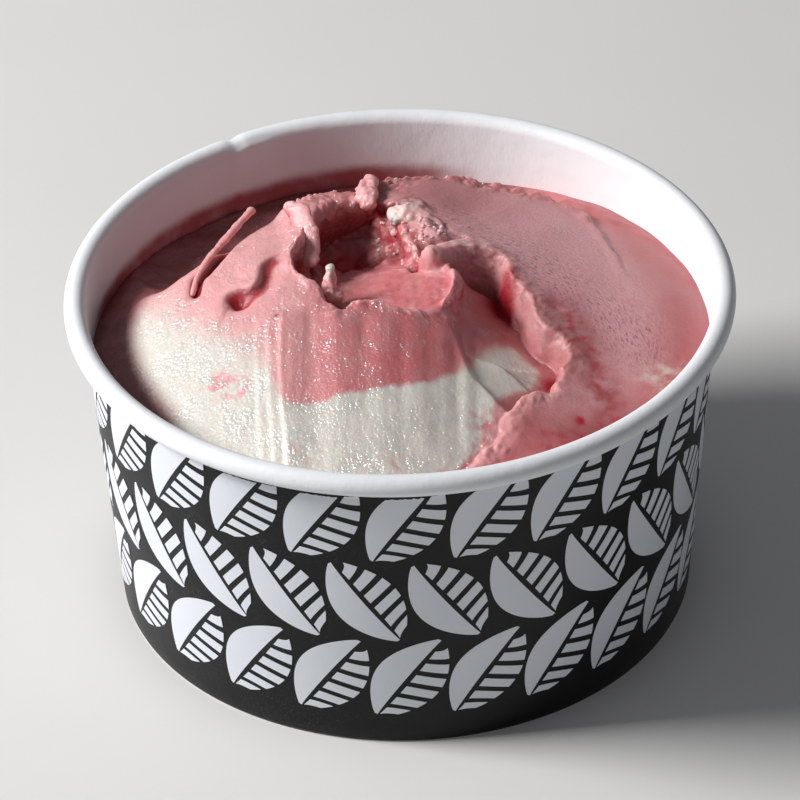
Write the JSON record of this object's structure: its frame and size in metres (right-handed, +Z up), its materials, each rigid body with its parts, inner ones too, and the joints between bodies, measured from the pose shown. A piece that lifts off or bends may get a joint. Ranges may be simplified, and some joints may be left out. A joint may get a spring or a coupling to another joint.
{
  "type": "cup of raspberry sorbet",
  "caption": "Round tapered paper cup with a rolled rim, filled with a spread and scraped mound of raspberry and cream-white sorbet.",
  "frame": {"origin": "centre of the cup's foot, on the surface that it stands on", "axes": "+Z up along the cup's axis, -Y towards the front, where both flavours show, +X to the right seen from the front"},
  "size_m": [0.092, 0.092, 0.0519],
  "materials": {
    "cup_board": "satin coated black board, printed in white, white inside and on the rolled rim",
    "base_board": "coated white board",
    "raspberry": "frozen raspberry sorbet, frosty, with a wet sheen",
    "white_flavour": "frozen cream-white sorbet, wet sheen"
  },
  "bodies": {
    "root": {"cup_wall": "cup_board", "cup_base": "base_board", "raspberry_sorbet": "raspberry", "white_sorbet": "white_flavour"}
  },
  "joints": []
}
